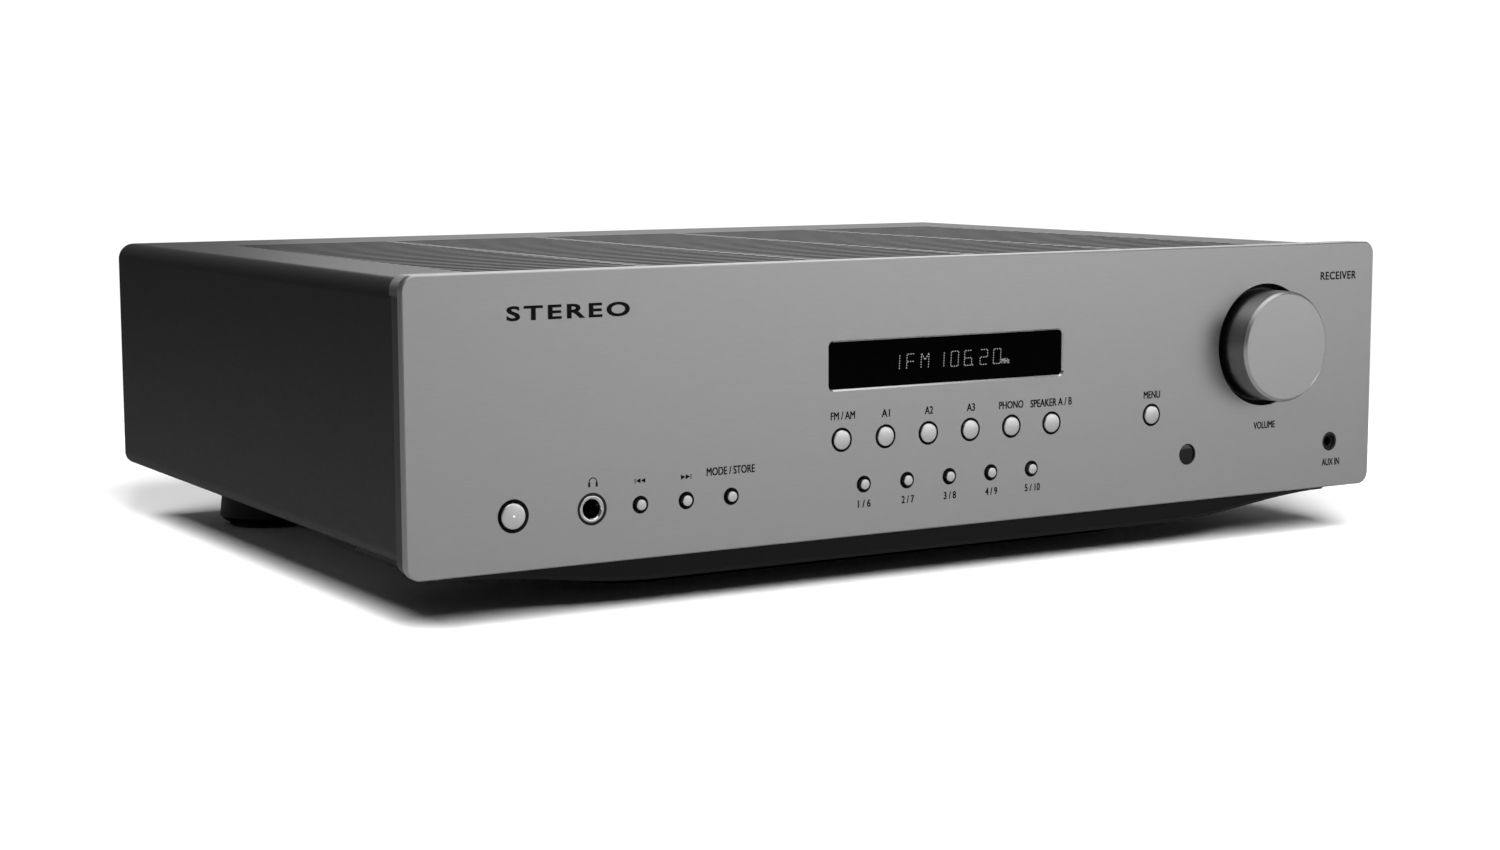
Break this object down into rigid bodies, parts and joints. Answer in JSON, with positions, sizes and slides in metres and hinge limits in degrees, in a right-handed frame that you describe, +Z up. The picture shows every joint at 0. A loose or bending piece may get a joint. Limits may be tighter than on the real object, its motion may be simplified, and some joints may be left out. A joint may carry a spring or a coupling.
{
  "type": "stereo receiver",
  "caption": "Stereo receiver: black vented steel cover, brushed light metal front with round corners, push buttons, dark display, large volume knob, curved black plinth.",
  "frame": {"origin": "on the floor under the middle of the overall box", "axes": "+X to the right seen from the front, +Y to the back, +Z up; the front plate faces -Y"},
  "size_m": [0.43, 0.34, 0.12],
  "materials": {
    "front_aluminium": "fine satin blast with a bright bevelled edge",
    "bezel_plastic": "satin moulded grey plastic",
    "smoked_window": "smoked acrylic",
    "display_glass": "dark display tube glass",
    "black_plastic": "fine textured black moulding",
    "nickel": "nickel plate",
    "cover_steel": "satin black powder coat",
    "zinc_steel": "zinc plated sheet",
    "pads": "dense black foot pads",
    "circuit_board": "green solder mask",
    "switch_plastic": "moulded switch bodies",
    "heat_sink": "extruded fins",
    "semiconductor": "moulded epoxy packages",
    "winding": "taped copper winding on a steel core",
    "capacitor_sleeve": "shrink sleeve",
    "jack_bodies": "phono jacks with plated sleeves",
    "gold_posts": "gold flash",
    "button_metal": "satin button caps",
    "cap_black": "black screw caps",
    "cap_red": "red screw caps",
    "lever_plastic": "white lever",
    "cable": "grey flat cable"
  },
  "bodies": {
    "root": {"face_plate": "front_aluminium", "front_bezel": "bezel_plastic", "display_window": "smoked_window", "display_module": "display_glass", "ir_window": "smoked_window", "headphone_jack": "nickel", "aux_jack": "black_plastic", "control_board": "circuit_board", "tact_switches": "switch_plastic", "volume_encoder": "zinc_steel", "top_cover": "cover_steel", "chassis_tray": "zinc_steel", "rear_panel": "cover_steel", "base_plinth": "black_plastic", "foot_pads": "pads", "rear_feet": "black_plastic", "heatsink": "heat_sink", "output_transistors": "semiconductor", "transformer": "winding", "main_board": "circuit_board", "filter_capacitors": "capacitor_sleeve", "speaker_relays": "black_plastic", "tuner_module": "nickel", "input_board": "circuit_board", "rca_jacks": "jack_bodies", "am_terminal": "black_plastic", "terminal_block": "black_plastic", "terminal_posts": "gold_posts", "mains_inlet": "black_plastic", "case_screws": "zinc_steel", "ribbon_cable": "cable"},
    "volume_knob": {"volume_knob": "front_aluminium", "encoder_shaft": "nickel"},
    "mains_rocker": {"mains_rocker": "black_plastic"},
    "power_button": {"power_button": "button_metal"},
    "menu_button": {"menu_button": "button_metal"},
    "preset_1": {"preset_1": "button_metal"},
    "preset_2": {"preset_2": "button_metal"},
    "preset_3": {"preset_3": "button_metal"},
    "preset_4": {"preset_4": "button_metal"},
    "preset_5": {"preset_5": "button_metal"},
    "fm_am_button": {"fm_am_button": "button_metal"},
    "a1_button": {"a1_button": "button_metal"},
    "a2_button": {"a2_button": "button_metal"},
    "a3_button": {"a3_button": "button_metal"},
    "phono_button": {"phono_button": "button_metal"},
    "speaker_button": {"speaker_button": "button_metal"},
    "previous_button": {"previous_button": "button_metal"},
    "next_button": {"next_button": "button_metal"},
    "mode_button": {"mode_button": "button_metal"},
    "cap_a_left_minus": {"cap_a_left_minus": "cap_black"},
    "cap_a_right_minus": {"cap_a_right_minus": "cap_black"},
    "cap_b_left_minus": {"cap_b_left_minus": "cap_black"},
    "cap_b_right_minus": {"cap_b_right_minus": "cap_black"},
    "cap_a_left_plus": {"cap_a_left_plus": "cap_red"},
    "cap_a_right_plus": {"cap_a_right_plus": "cap_red"},
    "cap_b_left_plus": {"cap_b_left_plus": "cap_red"},
    "cap_b_right_plus": {"cap_b_right_plus": "cap_red"},
    "am_lever_left": {"am_lever_left": "lever_plastic"},
    "am_lever_right": {"am_lever_right": "lever_plastic"}
  },
  "joints": [
    {"name": "volume_turn", "type": "hinge", "parent": "root", "child": "volume_knob", "pos_m": [0.1564, -0.16, 0.0803], "axis": [0, 1, 0], "continuous": true},
    {"name": "mains_switch", "type": "hinge", "parent": "root", "child": "mains_rocker", "pos_m": [-0.18, 0.1535, 0.08725], "axis": [1, 0, 0], "range_deg": [0, 20]},
    {"name": "power_press", "type": "slide", "parent": "root", "child": "power_button", "axis": [0, 1, 0], "range_m": [0, 0.0007], "stiffness_N_per_m": 800, "springref_m": -0.0004},
    {"name": "menu_press", "type": "slide", "parent": "root", "child": "menu_button", "axis": [0, 1, 0], "range_m": [0, 0.0007], "stiffness_N_per_m": 800, "springref_m": -0.0004},
    {"name": "preset_1_press", "type": "slide", "parent": "root", "child": "preset_1", "axis": [0, 1, 0], "range_m": [0, 0.0007], "stiffness_N_per_m": 800, "springref_m": -0.0004},
    {"name": "preset_2_press", "type": "slide", "parent": "root", "child": "preset_2", "axis": [0, 1, 0], "range_m": [0, 0.0007], "stiffness_N_per_m": 800, "springref_m": -0.0004},
    {"name": "preset_3_press", "type": "slide", "parent": "root", "child": "preset_3", "axis": [0, 1, 0], "range_m": [0, 0.0007], "stiffness_N_per_m": 800, "springref_m": -0.0004},
    {"name": "preset_4_press", "type": "slide", "parent": "root", "child": "preset_4", "axis": [0, 1, 0], "range_m": [0, 0.0007], "stiffness_N_per_m": 800, "springref_m": -0.0004},
    {"name": "preset_5_press", "type": "slide", "parent": "root", "child": "preset_5", "axis": [0, 1, 0], "range_m": [0, 0.0007], "stiffness_N_per_m": 800, "springref_m": -0.0004},
    {"name": "fm_am_press", "type": "slide", "parent": "root", "child": "fm_am_button", "axis": [0, 1, 0], "range_m": [0, 0.0007], "stiffness_N_per_m": 800, "springref_m": -0.0004},
    {"name": "a1_press", "type": "slide", "parent": "root", "child": "a1_button", "axis": [0, 1, 0], "range_m": [0, 0.0007], "stiffness_N_per_m": 800, "springref_m": -0.0004},
    {"name": "a2_press", "type": "slide", "parent": "root", "child": "a2_button", "axis": [0, 1, 0], "range_m": [0, 0.0007], "stiffness_N_per_m": 800, "springref_m": -0.0004},
    {"name": "a3_press", "type": "slide", "parent": "root", "child": "a3_button", "axis": [0, 1, 0], "range_m": [0, 0.0007], "stiffness_N_per_m": 800, "springref_m": -0.0004},
    {"name": "phono_press", "type": "slide", "parent": "root", "child": "phono_button", "axis": [0, 1, 0], "range_m": [0, 0.0007], "stiffness_N_per_m": 800, "springref_m": -0.0004},
    {"name": "speaker_press", "type": "slide", "parent": "root", "child": "speaker_button", "axis": [0, 1, 0], "range_m": [0, 0.0007], "stiffness_N_per_m": 800, "springref_m": -0.0004},
    {"name": "previous_press", "type": "slide", "parent": "root", "child": "previous_button", "axis": [0, 1, 0], "range_m": [0, 0.0007], "stiffness_N_per_m": 800, "springref_m": -0.0004},
    {"name": "next_press", "type": "slide", "parent": "root", "child": "next_button", "axis": [0, 1, 0], "range_m": [0, 0.0007], "stiffness_N_per_m": 800, "springref_m": -0.0004},
    {"name": "mode_press", "type": "slide", "parent": "root", "child": "mode_button", "axis": [0, 1, 0], "range_m": [0, 0.0007], "stiffness_N_per_m": 800, "springref_m": -0.0004},
    {"name": "cap_a_left_minus_turn", "type": "hinge", "parent": "root", "child": "cap_a_left_minus", "pos_m": [-0.126, 0.163, 0.056], "axis": [0, 1, 0], "continuous": true},
    {"name": "cap_a_right_minus_turn", "type": "hinge", "parent": "root", "child": "cap_a_right_minus", "pos_m": [-0.102, 0.163, 0.056], "axis": [0, 1, 0], "continuous": true},
    {"name": "cap_b_left_minus_turn", "type": "hinge", "parent": "root", "child": "cap_b_left_minus", "pos_m": [-0.078, 0.163, 0.056], "axis": [0, 1, 0], "continuous": true},
    {"name": "cap_b_right_minus_turn", "type": "hinge", "parent": "root", "child": "cap_b_right_minus", "pos_m": [-0.054, 0.163, 0.056], "axis": [0, 1, 0], "continuous": true},
    {"name": "cap_a_left_plus_turn", "type": "hinge", "parent": "root", "child": "cap_a_left_plus", "pos_m": [-0.126, 0.163, 0.077], "axis": [0, 1, 0], "continuous": true},
    {"name": "cap_a_right_plus_turn", "type": "hinge", "parent": "root", "child": "cap_a_right_plus", "pos_m": [-0.102, 0.163, 0.077], "axis": [0, 1, 0], "continuous": true},
    {"name": "cap_b_left_plus_turn", "type": "hinge", "parent": "root", "child": "cap_b_left_plus", "pos_m": [-0.078, 0.163, 0.077], "axis": [0, 1, 0], "continuous": true},
    {"name": "cap_b_right_plus_turn", "type": "hinge", "parent": "root", "child": "cap_b_right_plus", "pos_m": [-0.054, 0.163, 0.077], "axis": [0, 1, 0], "continuous": true},
    {"name": "am_lever_left_press", "type": "hinge", "parent": "root", "child": "am_lever_left", "pos_m": [0.146, 0.1521, 0.0536], "axis": [1, 0, 0], "range_deg": [-20, 0], "stiffness_Nm_per_rad": 0.02, "springref_deg": 5.73},
    {"name": "am_lever_right_press", "type": "hinge", "parent": "root", "child": "am_lever_right", "pos_m": [0.158, 0.1521, 0.0536], "axis": [1, 0, 0], "range_deg": [-20, 0], "stiffness_Nm_per_rad": 0.02, "springref_deg": 5.73}
  ]
}
